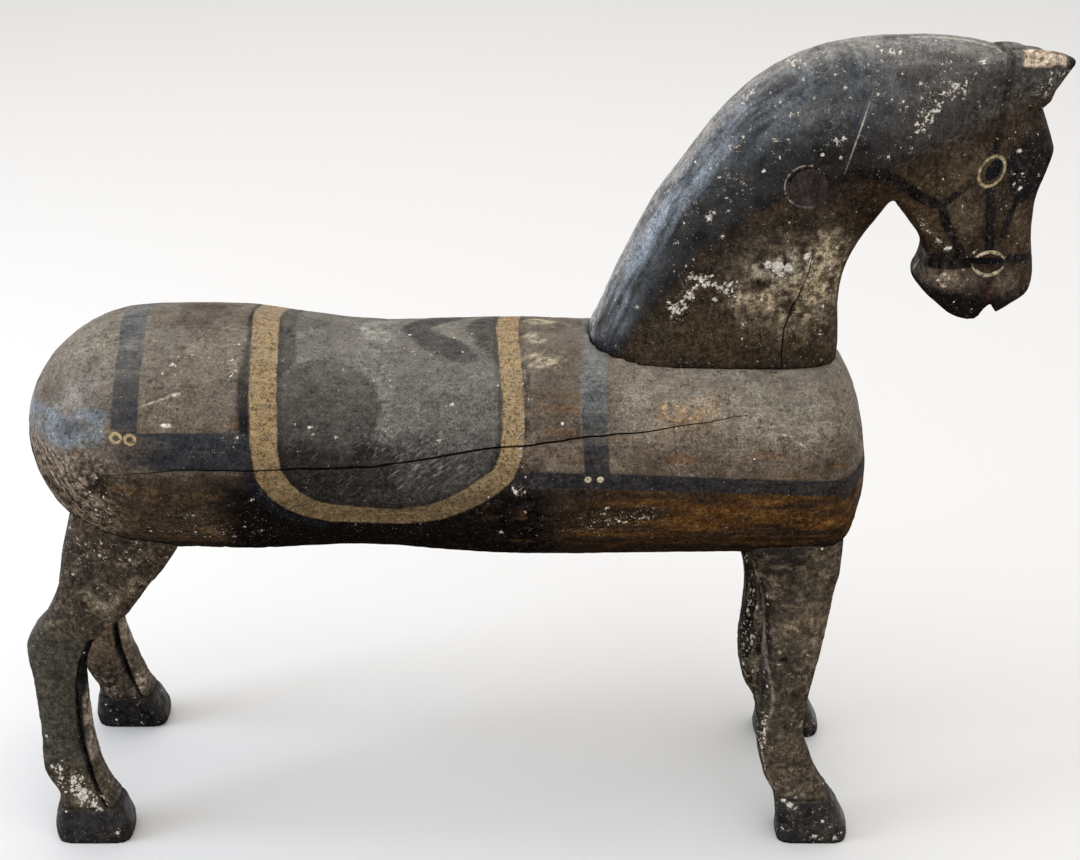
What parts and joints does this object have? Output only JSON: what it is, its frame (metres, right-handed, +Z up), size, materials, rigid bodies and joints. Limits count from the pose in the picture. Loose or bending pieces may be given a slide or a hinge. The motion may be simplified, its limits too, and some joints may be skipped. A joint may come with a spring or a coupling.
{
  "type": "carved wooden horse",
  "caption": "Carved and painted wooden standing horse: a round log trunk, an arched neck and head set in a sawn seat, and separate carved legs.",
  "frame": {"origin": "on the ground under the middle of the figure's length, width and height box", "axes": "+X towards the head, +Y towards the horse's left side, +Z up"},
  "size_m": [0.8096, 0.1998, 0.6748],
  "materials": {
    "trunk": "worn oil paint on bare wood, satin, dusty on top",
    "neck": "worn dark paint over white ground, satin",
    "plug": "painted end grain, satin",
    "legs": "worn paint on bare wood with blue-black hooves, matt to satin"
  },
  "bodies": {
    "root": {"trunk": "trunk", "neck_and_head": "neck", "neck_plug": "plug", "front_leg_right": "legs", "front_leg_left": "legs", "rear_leg_right": "legs", "rear_leg_left": "legs"}
  },
  "joints": []
}
